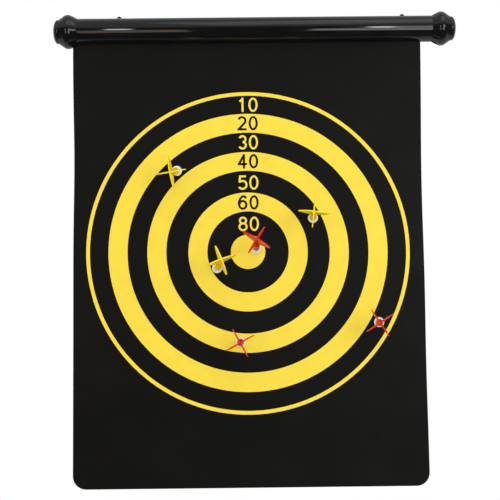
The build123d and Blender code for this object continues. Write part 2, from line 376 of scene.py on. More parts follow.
@dataclass(frozen=True)
class GlossPlastic:
    """Black ABS with a high gloss: dark body, hard bright reflections."""

    name: str
    colour: str
    roughness: float
    grain: Grain
    grain_mm: float
    relief_mm: float
    hazed_colour: str = "161617"
    haze_mm: float = 22.0
    drawn_stretch: float = 0.03

    def material(self) -> bpy.types.Material:
        """Build the plastic: an even colour, faint handling haze and the tool's own ripple.

        Returns:
            The material, under its own name.
        """
        recipe = Recipe(self.name, ior=1.5)
        tree = recipe.tree
        # drawn stock has its ripple along the tube, a moulding has it all round
        stretch = (self.drawn_stretch, 1, 1) if self.grain is Grain.DRAWN else (1, 1, 1)
        lay = add_node(tree, "ShaderNodeMapping", {"Vector": recipe.place, "Scale": stretch})
        ripple = add_node(
            tree, "ShaderNodeTexNoise",
            {"Vector": lay.outputs[0], "Scale": per_metre(self.grain_mm), "Detail": 2.0},
        )
        haze = add_node(
            tree, "ShaderNodeTexNoise",
            {"Vector": recipe.place, "Scale": per_metre(self.haze_mm), "Detail": 4.0},
        )
        rough = add_node(
            tree, "ShaderNodeMapRange",
            {"Value": haze.outputs[0], "From Min": 0.3, "From Max": 0.8,
             "To Min": self.roughness * 0.8, "To Max": self.roughness * 1.5},
        )
        bump = add_node(
            tree, "ShaderNodeBump",
            {"Height": ripple.outputs[0], "Distance": self.relief_mm * MM, "Strength": 1.0},
        )
        return recipe.done(haze, (self.colour, self.hazed_colour), rough, bump)


@dataclass(frozen=True)
class CoatedFace:
    """Matte vinyl laminated on the magnetic sheet: soot black with a soft broad sheen."""

    name: str
    colour: str
    worn_colour: str
    roughness: float
    pebble_mm: float = 0.5
    weave_mm: float = 1.6
    rub_mm: float = 35
    slack_mm: float = 90
    specular_level: float = 0.17

    def material(self) -> bpy.types.Material:
        """Build the vinyl: fine pebble, slow changes of sheen and a few rubbed patches.

        Returns:
            The material, under its own name.
        """
        recipe = Recipe(self.name, ior=1.5)
        tree = recipe.tree
        place = recipe.place
        recipe.shader.inputs["Specular IOR Level"].default_value = self.specular_level
        # the release film's pebble, then the backing's unevenness under it
        pebble = add_node(tree, "ShaderNodeTexVoronoi", {"Vector": place, "Scale": per_metre(self.pebble_mm)})
        weave = add_node(
            tree, "ShaderNodeTexNoise", {"Vector": place, "Scale": per_metre(self.weave_mm), "Detail": 3.0}
        )
        # slack left by rolling the sheet: low waves far apart
        slack = add_node(
            tree, "ShaderNodeTexNoise", {"Vector": place, "Scale": per_metre(self.slack_mm), "Detail": 1.0}
        )
        rubbed = add_node(
            tree, "ShaderNodeTexNoise", {"Vector": place, "Scale": per_metre(self.rub_mm), "Detail": 6.0}
        )
        patch = add_node(
            tree, "ShaderNodeMapRange",
            {"Value": rubbed.outputs[0], "From Min": 0.45, "From Max": 0.75, "To Min": 0.0, "To Max": 1.0},
        )
        rough = add_node(
            tree, "ShaderNodeMapRange",
            {"Value": rubbed.outputs[0], "To Min": self.roughness + 0.06, "To Max": self.roughness - 0.06},
        )
        fine = add_node(
            tree, "ShaderNodeBump",
            {"Height": pebble.outputs["Distance"], "Distance": 0.02 * MM, "Strength": 0.5},
        )
        middle = add_node(
            tree, "ShaderNodeBump",
            {"Height": weave.outputs[0], "Distance": 0.03 * MM, "Strength": 0.6, "Normal": fine.outputs[0]},
        )
        broad = add_node(
            tree, "ShaderNodeBump",
            {"Height": slack.outputs[0], "Distance": 1.6 * MM, "Strength": 1.0, "Normal": middle.outputs[0]},
        )
        return recipe.done(patch, (self.colour, self.worn_colour), rough, broad)


@dataclass(frozen=True)
class ScreenInk:
    """Screen-printed ink on vinyl: flat strong colour that takes a little of the mesh's texture."""

    name: str
    colour: str
    thin_colour: str
    cover_mm: float = 14
    # a 60-thread screen is too fine to show, so its threads are drawn this far apart
    thread_mm: float = 0.8

    def material(self) -> bpy.types.Material:
        """Build the ink: slight thin spots, the screen's mesh as relief and a satin face.

        Returns:
            The material, under its own name.
        """
        recipe = Recipe(self.name, ior=1.48)
        tree = recipe.tree
        place = recipe.place
        cover = add_node(
            tree, "ShaderNodeTexNoise", {"Vector": place, "Scale": per_metre(self.cover_mm), "Detail": 5.0}
        )
        threads = add_node(
            tree, "ShaderNodeTexNoise", {"Vector": place, "Scale": per_metre(self.thread_mm), "Detail": 2.0}
        )
        thin = add_node(
            tree, "ShaderNodeMapRange",
            {"Value": cover.outputs[0], "From Min": 0.35, "From Max": 0.8, "To Min": 0.0, "To Max": 0.6},
        )
        rough = add_node(
            tree, "ShaderNodeMapRange", {"Value": cover.outputs[0], "To Min": 0.42, "To Max": 0.58}
        )
        bump = add_node(
            tree, "ShaderNodeBump", {"Height": threads.outputs[0], "Distance": 0.02 * MM, "Strength": 0.5}
        )
        return recipe.done(thin, (self.colour, self.thin_colour), rough, bump)


@dataclass(frozen=True)
class DartPlastic:
    """Injection-moulded polyethylene: saturated, slightly waxy, light passes through thin vanes."""

    name: str
    colour: str
    deep_colour: str
    glow: float
    flow_mm: float = 5

    def material(self) -> bpy.types.Material:
        """Build the plastic: flow lines from the gate, waxy gloss and a glow under the surface.

        Returns:
            The material, under its own name.
        """
        recipe = Recipe(self.name, ior=1.5)
        tree = recipe.tree
        recipe.shader.inputs["Subsurface Weight"].default_value = self.glow
        recipe.shader.inputs["Subsurface Scale"].default_value = 1.2 * MM
        recipe.shader.inputs["Subsurface Radius"].default_value = (1.0, 0.6, 0.2)
        flow = add_node(
            tree, "ShaderNodeTexNoise",
            {"Vector": recipe.place, "Scale": per_metre(self.flow_mm), "Detail": 3.0, "Distortion": 1.2},
        )
        rough = add_node(
            tree, "ShaderNodeMapRange", {"Value": flow.outputs[0], "To Min": 0.24, "To Max": 0.36}
        )
        bump = add_node(
            tree, "ShaderNodeBump", {"Height": flow.outputs[0], "Distance": 0.05 * MM, "Strength": 0.4}
        )
        return recipe.done(flow, (self.colour, self.deep_colour), rough, bump)


@dataclass(frozen=True)
class PlainMetal:
    """Bare or plated steel: nickel on the balls, whose white base colour is a painted reflection, drawn steel
    on the rod and rivets.
    """

    name: str
    colour: str
    roughness: float
    line_mm: float
    stretch: tuple[float, float, float]
    metallic: float = 1.0
    handled_colour: str = "B9BABD"

    def material(self) -> bpy.types.Material:
        """Build the metal: its own tint, fine lines or handling marks, and a changing gloss.

        Returns:
            The material, under its own name.
        """
        recipe = Recipe(self.name)
        tree = recipe.tree
        recipe.shader.inputs["Metallic"].default_value = self.metallic
        lay = add_node(tree, "ShaderNodeMapping", {"Vector": recipe.place, "Scale": self.stretch})
        lines = add_node(
            tree, "ShaderNodeTexNoise",
            {"Vector": lay.outputs[0], "Scale": per_metre(self.line_mm), "Detail": 3.0},
        )
        rough = add_node(
            tree, "ShaderNodeMapRange",
            {"Value": lines.outputs[0], "To Min": self.roughness * 0.6, "To Max": self.roughness * 1.4},
        )
        bump = add_node(
            tree, "ShaderNodeBump", {"Height": lines.outputs[0], "Distance": 0.004 * MM, "Strength": 0.4}
        )
        return recipe.done(lines, (self.colour, self.handled_colour), rough, bump)


@dataclass(frozen=True)
class SoftBlack:
    """Dull black goods: filled rubber, vinyl extrusion and dip-coated steel."""

    name: str
    colour: str
    fleck_colour: str
    roughness: float
    grain_mm: float

    def material(self) -> bpy.types.Material:
        """Build the material: a dark body with fine flecks and a granular surface.

        Returns:
            The material, under its own name.
        """
        recipe = Recipe(self.name, ior=1.5)
        tree = recipe.tree
        grain = add_node(
            tree, "ShaderNodeTexNoise",
            {"Vector": recipe.place, "Scale": per_metre(self.grain_mm), "Detail": 4.0},
        )
        fleck = add_node(
            tree, "ShaderNodeMapRange",
            {"Value": grain.outputs[0], "From Min": 0.5, "From Max": 0.75, "To Min": 0.0, "To Max": 1.0},
        )
        rough = add_node(
            tree, "ShaderNodeMapRange",
            {"Value": grain.outputs[0], "To Min": self.roughness - 0.08, "To Max": self.roughness + 0.08},
        )
        bump = add_node(
            tree, "ShaderNodeBump", {"Height": grain.outputs[0], "Distance": 0.05 * MM, "Strength": 0.5}
        )
        return recipe.done(fleck, (self.colour, self.fleck_colour), rough, bump)


# ---------------------------------------------------------------- the roller


@dataclass
class Roller:
    """The slotted tube with its two hangers and their rivets."""

    wall: float = 1.5
    slot_half: float = 1.86
    # the slot lies below this share of the radius, under the axis
    slot_depth: float = 0.9
    lip_round: float = 0.2
    segments: int = 240

    def __post_init__(self) -> None:
        """Read the tube's axis and size from the frame."""
        low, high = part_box("tube")
        self.low_x, self.high_x = low.x, high.x
        self.radius = (high.y - low.y) / 2
        self.y = (low.y + high.y) / 2
        self.z = high.z - self.radius

    def build(self) -> None:
        """Model the tube and dress the pieces that it carries."""
        plastic = GlossPlastic("abs_gloss_drawn", "08080A", 0.07, Grain.DRAWN, 2.6, 0.012).material()
        tube = self.model_tube()
        fit_out(tube, "roller", plastic, ["tube"])
        enamel = SoftBlack("dip_coated_steel", "0B0B0C", "1B1B1C", 0.4, 0.7).material()
        zinc = PlainMetal("rivet_steel", "A5A7AA", 0.3, 0.4, (1, 1, 1)).material()
        for side in ("left", "right"):
            for node, material in ((f"hanger_{side}", enamel), (f"rivets_{side}", zinc)):
                dress(node, material)

    def model_tube(self) -> bpy.types.Object:
        """Shape the tube: a cylinder, its slot cut away, then a wall and rounded edges.

        Returns:
            The finished tube, in place.
        """
        length = self.high_x - self.low_x
        tube = new_primitive(
            bpy.ops.mesh.primitive_cylinder_add,
            "roller_tube",
            vertices=self.segments,
            radius=self.radius,
            depth=length,
            end_fill_type="NOTHING",
            rotation=(0, math.radians(90), 0),
            location=((self.low_x + self.high_x) / 2, self.y, self.z),
        )
        settle(tube)
        half = self.slot_half * MM
        floor = self.z - self.slot_depth * self.radius
        bpy.ops.object.mode_set(mode="EDIT")
        pick(tube, "FACE", lambda p: p.z < floor and abs(p.y - self.y) < half)
        bpy.ops.mesh.delete(type="FACE")
        bpy.ops.mesh.select_all(action="SELECT")
        bpy.ops.mesh.normals_make_consistent(inside=False)
        bpy.ops.object.mode_set(mode="OBJECT")
        apply_modifier(tube, "SOLIDIFY", thickness=self.wall * MM, offset=-1)
        round_edges(tube, self.lip_round, 50)
        close_up(tube)
        smooth(tube, 30)
        return tube


def dress(node: str, material: bpy.types.Material) -> None:
    """Give a carried-over CAD node its finish.

    Args:
        node: The node's name.
        material: The finish.
    """
    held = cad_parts[node]
    held.data.materials.clear()
    held.data.materials.append(material)
    LOG.info("%s: kept, finish %s", node, material.name)


@dataclass
class EndCap:
    """A hollow moulded finial: flared ring, groove, shallow dome and a spigot."""

    side: int
    peak_axial: float = 10.3
    peak_corner: float = 18.85
    peak_round: float = 7.2
    groove_axial: float = 19.7
    groove_radius: float = 12.2
    rim_radius: float = 12.5
    dome_height: float = 4.9
    dome_fullness: float = 2.08
    wall: float = 1.8
    peak_wall: float = 3.6
    spigot_wall: float = 1.5
    # how far the spigot's outside lies within the tube's outside
    spigot_inset: float = 1.6
    notch_depth: float = 5.45
    notch_half: float = 2.6
    hem_clearance: float = 1.0
    edge_round: float = 0.12
    arc_steps: int = 16
    segments: int = 128

    def __post_init__(self) -> None:
        """Read the cap's place and the tube's radius from the frame."""
        self.name = "left" if self.side < 0 else "right"
        low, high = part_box(f"end_cap_{self.name}")
        tube_low, tube_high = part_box("tube")
        self.foot_x = tube_low.x if self.side < 0 else tube_high.x
        self.tip = (abs(low.x if self.side < 0 else high.x) - abs(self.foot_x)) / MM
        self.spigot = (abs(self.foot_x) - abs(high.x if self.side < 0 else low.x)) / MM
        self.tube_radius = (tube_high.y - tube_low.y) / 2 / MM
        self.y = (tube_low.y + tube_high.y) / 2
        self.z = tube_high.z - self.tube_radius * MM

    def outline(self) -> list[tuple[float, float]]:
        """Work out the turned profile, from the dome's tip round to the hollow's end.

        Returns:
            Points along the axis and out from it, in mm.
        """
        rim = self.tip - self.dome_height
        points = []
        # the dome is a little fuller than a quarter of an ellipse
        power = 2 / self.dome_fullness
        for step in range(self.arc_steps + 1):
            turn = math.radians(90 * step / self.arc_steps)
            along = self.dome_height * max(math.cos(turn), 0.0) ** power
            points.append((rim + along, self.rim_radius * math.sin(turn) ** power))
        points += [
            (rim - 0.05, self.rim_radius),
            (self.groove_axial + 0.35, self.rim_radius - 0.05),
            (self.groove_axial + 0.1, self.groove_radius + 0.05),
            (self.groove_axial - 0.1, self.groove_radius),
        ]
        # the ring's two slopes meet in a round crest
        fore = math.atan2(self.peak_corner - self.tube_radius, self.peak_axial)
        aft = math.atan2(self.peak_corner - self.groove_radius, self.groove_axial - self.peak_axial)
        lift = self.peak_round / math.cos((fore + aft) / 2)
        lean = (aft - fore) / 2
        crown = self.peak_corner - lift * math.cos(lean)
        middle = self.peak_axial - lift * math.sin(lean)
        for step in range(self.arc_steps + 1):
            turn = aft - (fore + aft) * step / self.arc_steps
            along = self.peak_round * math.sin(turn)
            points.append((middle + along, crown + self.peak_round * math.cos(turn)))
        inner = self.tube_radius - self.spigot_inset
        bore = inner - self.spigot_wall
        hollow = self.groove_radius - self.wall
        # a small cove at the foot, the spigot, then back along the hollow to the dome
        points += [
            (1.6, self.tube_radius + 0.95),
            (0.6, self.tube_radius + 0.2),
            (0.2, self.tube_radius + 0.02),
            (0.0, self.tube_radius - 0.15),
            (0.0, inner),
            (-self.spigot + 0.5, inner),
            (-self.spigot, inner - 0.4),
            (-self.spigot, bore),
            (self.wall, bore),
            (self.peak_axial, self.peak_corner - self.peak_wall),
            (self.groove_axial, hollow),
            (rim, hollow),
            (self.tip - self.wall - 0.9, 5.5),
            (self.tip - self.wall, 0.0),
        ]
        return points

    def build(self, material: bpy.types.Material) -> None:
        """Turn the cap, cut the bay for the sheet's hem and set it on the tube's end.

        Args:
            material: The cap's plastic.
        """
        cap = lathe(f"finial_{self.name}", self.outline(), self.segments)
        # the turned piece stands on +Z: lay it along the tube, with +Z outwards
        lay = Matrix.Rotation(math.radians(90 * self.side), 4, "Y")
        cap.data.transform(Matrix.Translation((self.foot_x, self.y, self.z)) @ lay)
        self.cut_hem_bay(cap)
        round_edges(cap, self.edge_round, 45)
        close_up(cap)
        smooth(cap, 40)
        fit_out(cap, f"cap_{self.name}", material, [f"end_cap_{self.name}"])

    def cut_hem_bay(self, cap: bpy.types.Object) -> None:
        """Open the spigot underneath for the hem, and the foot for the sheet's edge.

        Args:
            cap: The cap to cut, in place.
        """
        sleeve_low, sleeve_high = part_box("hem_sleeve")
        top = sleeve_high.z + self.hem_clearance * MM
        bay_half = (sleeve_high.y - sleeve_low.y) / 2 + self.hem_clearance * MM
        # the bay goes right through the spigot, and the notch starts a little inside the bay
        bay = (self.foot_x - self.side * (self.spigot + 2) * MM, self.foot_x, bay_half)
        notch_start = self.foot_x - self.side * 0.5 * MM
        notch = (notch_start, self.foot_x + self.side * self.notch_depth * MM, self.notch_half * MM)
        floor = self.z - 30 * MM
        for start, end, half in (bay, notch):
            low = Vector((min(start, end), self.y - half, floor))
            cut_box(cap, low, Vector((max(start, end), self.y + half, top)))


# ----------------------------------------------------------------- the sheet


@dataclass
class TargetSheet:
    """The laminated sheet: two vinyl faces on a magnetic core, with its print and its hem."""

    corner: float = 13.6
    columns: int = 44
    rows: int = 72
    # the print stays flat to this far past its outer ring
    flat_margin: float = 4.0
    # the lower edge curls forward, and the part above the print hollows backward
    curl: float = 1.5
    curl_span: float = 66.0
    belly: float = 0.45
    belly_span: float = 52.0
    # each side edge is drawn in over this width: how deep, how far above the target and over what height
    draw_width: float = 12.0
    left_draws: Draws = ((1.4, 95, 65), (0.3, -60, 110))
    right_draws: Draws = ((1.9, 70, 95), (1.0, -110, 75))

    def __post_init__(self) -> None:
        """Read the sheet's and the print's places from the frame."""
        self.low, self.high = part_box("sheet_core")
        rings_low, rings_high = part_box("print_rings")
        self.centre = (rings_low + rings_high) / 2
        self.ring_radius = (rings_high.x - rings_low.x) / 2
        self.middle_x = (self.low.x + self.high.x) / 2
        self.half_width = (self.high.x - self.low.x) / 2

    def sway(self, x: float, z: float) -> float:
        """How far the hanging sheet stands off its plane, towards the viewer.

        The printed part stays flat; the hem below it keeps a little of its rolled shape.

        Args:
            x: The point's place across the sheet, in metres.
            z: Its height, in metres.

        Returns:
            The distance, in metres.
        """
        below = max(0.0, (self.centre.z - self.ring_radius - z) / MM - self.flat_margin)
        above = max(0.0, (z - self.centre.z - self.ring_radius) / MM - self.flat_margin)
        across = (x - self.middle_x) / self.half_width
        curl = self.curl * (below / self.curl_span) ** 2 * (0.75 + 0.25 * math.cos(2.6 * across + 0.6))
        hollow = math.sin(math.pi * min(above / self.belly_span, 1.0)) ** 2
        belly = self.belly * hollow * (0.6 + 0.4 * math.cos(3.4 * across - 0.8))
        return (curl - belly) * MM

    def draw_in(self, x: float, z: float) -> float:
        """How far a point moves across, towards the middle, where its side edge is drawn in.

        Args:
            x: The point's place across the sheet, in metres.
            z: Its height, in metres.

        Returns:
            The shift along X, in metres.
        """
        right = x > self.middle_x
        edge = (self.half_width - abs(x - self.middle_x)) / MM
        near = max(0.0, 1 - edge / self.draw_width) ** 2
        height = (z - self.centre.z) / MM
        draws = self.right_draws if right else self.left_draws
        depth = sum(deep * math.exp(-(((height - above) / spread) ** 2)) for deep, above, spread in draws)
        return (-1.0 if right else 1.0) * near * depth * MM

    def layer(self, name: str, rear: float, thickness: float, top: float) -> bpy.types.Object:
        """Shape one layer: a plane with rounded corners, cut into strips, hung and thickened.

        Args:
            name: The piece's name.
            rear: y of the layer's rear side, in metres.
            thickness: In metres.
            top: z of its top edge.

        Returns:
            The finished layer.
        """
        height = top - self.low.z
        sheet = new_primitive(
            bpy.ops.mesh.primitive_plane_add,
            name,
            size=1,
            rotation=(math.radians(90), 0, 0),
            location=(self.middle_x, rear, self.low.z + height / 2),
        )
        sheet.scale = (2 * self.half_width, height, 1)
        settle(sheet)
        bpy.ops.object.mode_set(mode="EDIT")
        pick(sheet, "VERT", lambda p: p.z < self.low.z + 1 * MM)
        bpy.ops.mesh.bevel(offset=self.corner * MM, segments=14, affect="VERTICES")
        for column in range(1, self.columns):
            x = self.low.x + 2 * self.half_width * column / self.columns
            self.slice(sheet, (x, rear, top), (1, 0, 0))
        for edge in (2, 4, 7):
            for side in (-1, 1):
                x = self.middle_x + side * (self.half_width - edge * MM)
                self.slice(sheet, (x, rear, top), (1, 0, 0))
        for row in range(1, self.rows):
            self.slice(sheet, (self.low.x, rear, self.low.z + height * row / self.rows), (0, 0, 1))
        bpy.ops.object.mode_set(mode="OBJECT")
        for vertex in sheet.data.vertices:
            x, z = vertex.co.x, vertex.co.z
            vertex.co.x += self.draw_in(x, z)
            vertex.co.y -= self.sway(x, z)
        apply_modifier(sheet, "SOLIDIFY", thickness=thickness, offset=1)
        close_up(sheet)
        smooth(sheet, 40)
        return sheet

    def slice(self, sheet: bpy.types.Object, spot: tuple, normal: tuple) -> None:
        """Cut the sheet in edit mode along a straight line."""
        bpy.ops.mesh.select_all(action="SELECT")
        bpy.ops.mesh.bisect(plane_co=spot, plane_no=normal)

    def build(self) -> None:
        """Model the three layers, and dress the print, the sleeve and the rod."""
        vinyl = CoatedFace("matte_vinyl_face", "070806", "0B0C0A", 0.5).material()
        rubber = SoftBlack("filled_magnetic_rubber", "181817", "2B2A27", 0.75, 0.35).material()
        ink = ScreenInk("screen_ink_yellow", "F4D93C", "ECCD36").material()
        sleeve = SoftBlack("soft_vinyl_extrusion", "101011", "1C1C1D", 0.5, 1.2).material()
        steel = PlainMetal("drawn_steel", "9A9CA0", 0.25, 0.5, (0.02, 1, 1)).material()
        layers = (
            ("target_face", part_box("front_face"), "front_face", "face_vinyl", vinyl),
            ("magnetic_core", (self.low, self.high), "sheet_core", "core_rubber", rubber),
            ("rear_face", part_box("back_face"), "back_face", "face_vinyl", vinyl),
        )
        for name, (low, high), node, slot, material in layers:
            top = high.z
            piece = self.layer(name, high.y, high.y - low.y, top)
            fit_out(piece, "sheet", material, [node])
        for node in ("print_rings", "print_numerals"):
            dress(node, ink)
        dress("hem_sleeve", sleeve)
        dress("hem_rod", steel)


# ----------------------------------------------------------------- the darts


class DartColour(Enum):
    """The two players' colours."""

    YELLOW = "yellow"
    RED = "red"


@dataclass
class DartKit:
    """Masters of a dart's three pieces, modelled once about +Z with the ball's centre at 0."""

    ball_radius: float = 5.25
    seat_radius: float = 3.0
    seat_gap: float = 0.08
    barrel_radius: float = 3.5
    shoulder: float = 20.0
    barrel_end: float = 27.0
    end_radius: float = 2.4
    groove_depth: float = 0.4
    groove_width: float = 1.0
    groove_pitch: float = 2.6
    flight_length: float = 15.5
    flight_reach: float = 15.7
    tip_at: float = 9.5
    tip_width: float = 3.0
    vane_bulge: float = 1.6
    hub_radius: float = 1.9
    root_thickness: float = 1.5
    edge_thickness: float = 0.9
    edge_round: float = 0.28
    # the barrel's socket and the stem in it
    socket_depth: float = 6.9
    socket_radius: float = 1.36
    stem_radius: float = 1.3
    # the ball is a touch smaller under the barrel, and flat where it meets the sheet
    ball_trim: float = 0.985

    def ball(self) -> bpy.types.Object:
        """Model the ball magnet: clear of the barrel's cup, with a small flat on the sheet's side.

        Returns:
            The ball, at the dart's origin.
        """
        ball = new_primitive(
            bpy.ops.mesh.primitive_uv_sphere_add,
            "ball_master",
            segments=64,
            ring_count=40,
            radius=self.ball_radius * MM,
        )
        bpy.ops.object.mode_set(mode="EDIT")
        lip = math.sqrt(self.ball_radius**2 - self.seat_radius**2) * MM
        pick(ball, "VERT", lambda p: p.z > lip * 0.98)
        trim = self.ball_trim
        bpy.ops.transform.resize(value=(trim, trim, trim), center_override=(0, 0, 0))
        flat = -trim * self.ball_radius * MM
        pick(ball, "VERT", lambda p: p.z < flat)
        bpy.ops.transform.resize(value=(1, 1, 0), center_override=(0, 0, flat))
        bpy.ops.object.mode_set(mode="OBJECT")
        close_up(ball)
        smooth(ball, 40)
        return ball

    def barrel(self) -> bpy.types.Object:
        """Turn the barrel: cupped nose, three grip grooves, taper and open tail.

        Returns:
            The barrel, along +Z.
        """
        cup = self.ball_radius + self.seat_gap
        lip = math.asin(self.seat_radius / cup)
        profile = [(cup * math.cos(lip * step / 5), cup * math.sin(lip * step / 5)) for step in range(6)]
        nose = profile[-1][0]
        profile += [(nose + 0.15, self.seat_radius + 0.25), (nose + 1.3, self.barrel_radius)]
        first = (self.ball_radius + self.shoulder - 2 * self.groove_pitch) / 2
        for index in range(3):
            middle = first + index * self.groove_pitch
            for step in range(7):
                turn = math.pi * step / 6
                along = middle - self.groove_width / 2 * math.cos(turn)
                profile.append((along, self.barrel_radius - self.groove_depth * math.sin(turn)))
        for step in range(7):
            share = step / 6
            bend = 0.5 - 0.5 * math.cos(math.pi * share)
            along = self.shoulder + (self.barrel_end - self.shoulder) * share
            profile.append((along, self.barrel_radius + (self.end_radius - self.barrel_radius) * bend))
        profile += [
            (self.barrel_end, self.end_radius - 0.3),
            (self.barrel_end, self.socket_radius),
            (self.barrel_end - self.socket_depth, self.socket_radius),
            (self.barrel_end - self.socket_depth, 0.0),
        ]
        barrel = lathe("barrel_master", profile, 56)
        smooth(barrel, 35)
        return barrel

    def vane_edge(self, share: float) -> tuple[float, float]:
        """Where a vane starts and ends along the dart, at a share of its reach.

        Args:
            share: How far out the point lies, from 0 at the hub to 1 at the edge.

        Returns:
            The start and the end, in mm.
        """
        root = self.barrel_end + 0.05
        tail = self.barrel_end + self.flight_length
        tip = self.barrel_end + self.tip_at
        front = root + (tip - self.tip_width / 2 - root) * share ** 1.15
        rear = tail + (tip + self.tip_width / 2 - tail) * share ** 1.15
        swell = self.vane_bulge * math.sin(math.pi * share)
        # the tip is round: its last stretch closes to a half circle
        close = max(0.0, (share - 0.93) / 0.07)
        shrink = (1 - math.sqrt(max(0.0, 1 - close**2))) * self.tip_width / 2
        return front - swell + shrink, rear + swell - shrink

    def flight(self) -> bpy.types.Object:
        """Model the flight: a rounded hub with its stem, and four vanes thinner at the edge.

        Returns:
            The flight, along +Z.
        """
        tail = self.barrel_end + self.flight_length
        hub = lathe(
            "flight_master",
            [
                (self.barrel_end - self.socket_depth, 0.0),
                (self.barrel_end - self.socket_depth, self.stem_radius - 0.2),
                (self.barrel_end - self.socket_depth + 0.3, self.stem_radius),
                (self.barrel_end + 0.05, self.stem_radius),
                (self.barrel_end + 0.05, self.hub_radius - 0.2),
                (self.barrel_end + 0.3, self.hub_radius),
                (self.barrel_end + 8, self.hub_radius - 0.25),
                (tail - 3, self.hub_radius - 0.7),
                (tail - 0.6, self.hub_radius - 1.0),
                (tail - 0.1, 0.55),
                (tail, 0.0),
            ],
            32,
        )
        vanes = []
        for quarter in range(4):
            vane = new_primitive(
                bpy.ops.mesh.primitive_grid_add, "vane", x_subdivisions=26, y_subdivisions=18, size=2 * MM
            )
            for vertex in vane.data.vertices:
                share = min(1.0, max(0.0, (vertex.co.x / MM + 1) / 2))
                along = min(1.0, max(0.0, (vertex.co.y / MM + 1) / 2))
                reach = share ** 0.85
                front, rear = self.vane_edge(reach)
                cup = 0.35 * math.sin(math.pi * reach) * math.sin(math.pi * along)
                radius = 0.4 + (self.flight_reach - 0.4) * reach
                vertex.co = Vector((radius, cup, front + (rear - front) * along)) * MM
            weights = vane.vertex_groups.new(name="thick")
            for vertex in vane.data.vertices:
                share = vertex.co.x / MM / self.flight_reach
                thick = self.root_thickness + (self.edge_thickness - self.root_thickness) * share
                weights.add([vertex.index], thick / self.root_thickness, "REPLACE")
            apply_modifier(
                vane, "SOLIDIFY", thickness=self.root_thickness * MM, offset=0, vertex_group="thick"
            )
            round_edges(vane, self.edge_round, 60)
            vane.data.transform(Matrix.Rotation(math.radians(90 * quarter), 4, "Z"))
            close_up(vane)
            vanes.append(vane)
        select_only(hub)
        for vane in vanes:
            vane.select_set(True)
        bpy.ops.object.join()
        smooth(hub, 40)
        return hub


@dataclass
class Dart:
    """One dart, set where its CAD nodes lie."""

    number: int
    colour: DartColour

    def __post_init__(self) -> None:
        """Read the ball's centre from the frame, and the dart's axis and turn from its nodes."""
        low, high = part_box(f"dart_{self.number}_magnet")
        self.centre = (low + high) / 2
        points = [v.co.copy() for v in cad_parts[f"dart_{self.number}_flight"].data.vertices]
        reach = max((p - self.centre).length for p in points)
        tail = [p for p in points if (p - self.centre).length > reach - 0.05 * MM]
        self.axis = (sum(tail, Vector()) / len(tail) - self.centre).normalized()
        off = [p - self.centre - self.axis * (p - self.centre).dot(self.axis) for p in points]
        widest = max(o.length for o in off)
        tips = [o for o in off if o.length > widest - 0.02 * MM]
        lead = max(tips, key=lambda o: o.x + 0.01 * o.z)
        near = [o for o in tips if (o - lead).length < 2 * MM]
        self.across = (sum(near, Vector()) / len(near)).normalized()

    def place(self) -> Matrix:
        """Work out the matrix that takes a master to this dart's place.

        Returns:
            The matrix.
        """
        side = self.axis.cross(self.across).normalized()
        across = side.cross(self.axis).normalized()
        turn = Matrix((across, side, self.axis)).transposed().to_4x4()
        return Matrix.Translation(self.centre) @ turn

    def build(
        self, masters: dict[str, bpy.types.Object], finishes: dict[str, bpy.types.Material]
    ) -> None:
        """Copy the three masters to the dart's place and fit them out.

        Args:
            masters: The ball, barrel and flight about +Z, by part.
            finishes: Each part's material.
        """
        place = self.place()
        for part, master in masters.items():
            piece = copy_of(master, f"{self.colour.value}_{part}_{self.number}")
            piece.data.transform(place)
            body = f"magnet_{self.number}" if part == "magnet" else f"dart_{self.number}"
            fit_out(piece, body, finishes[part], [f"dart_{self.number}_{part}"])


def build_darts() -> None:
    """Model the masters once, set all six darts, and remove the masters."""
    kit = DartKit()
    masters = {"magnet": kit.ball(), "barrel": kit.barrel(), "flight": kit.flight()}
    # the balls' white base colour, mostly scattered, is a painted reflection of the bright room: as a full
    # mirror the ball would show only the dark sheet round it
    nickel = PlainMetal(
        "nickel_plate_painted_white", "FFFFFE", 0.09, 0.9, (1, 1, 1), metallic=0.3, handled_colour="F2F2F0"
    ).material()
    plastics = {
        DartColour.YELLOW: {
            "flight": DartPlastic("polyethylene_lemon", "F8E01A", "EFD010", 0.15).material(),
            "barrel": DartPlastic("polyethylene_amber", "ECC81C", "DDAE12", 0.1).material(),
        },
        DartColour.RED: {
            "flight": DartPlastic("polyethylene_red", "E31510", "CC0F0B", 0.1).material(),
            "barrel": DartPlastic("polyethylene_dark_red", "C71A0E", "AE1209", 0.05).material(),
        },
    }
    for number in range(1, 7):
        colour = DartColour.YELLOW if number < 4 else DartColour.RED
        Dart(number, colour).build(masters, {"magnet": nickel, **plastics[colour]})
    for master in masters.values():
        bpy.data.objects.remove(master)


# ---------------------------------------------------------------- the studio


@dataclass(frozen=True)
class SoftBox:
    """A lit panel, placed in metres from the target's centre."""

    name: str
    spot: tuple[float, float, float]
    size: tuple[float, float]
    radiance: float
    tint: str = "FFFFFF"
    glossy: bool = True
    # how far above the target's centre it faces
    aim_rise: float = 0.15

    def hang(self, target: Vector) -> None:
        """Add the light, as bright as a panel of its radiance.

        Args:
            target: The target's centre, which the light is placed from.
        """
        light = bpy.data.lights.new(self.name, "AREA")
        light.shape = "RECTANGLE"
        light.size, light.size_y = self.size
        light.energy = self.radiance * self.size[0] * self.size[1] * math.pi
        light.color = linear(self.tint)[:3]
        holder = bpy.data.objects.new(self.name, light)
        spot = target + Vector(self.spot)
        facing = (target + Vector((0, 0, self.aim_rise)) - spot).to_track_quat("-Z", "Y")
        holder.matrix_world = Matrix.Translation(spot) @ facing.to_matrix().to_4x4()
        holder.visible_glossy = self.glossy
        bpy.context.scene.collection.objects.link(holder)


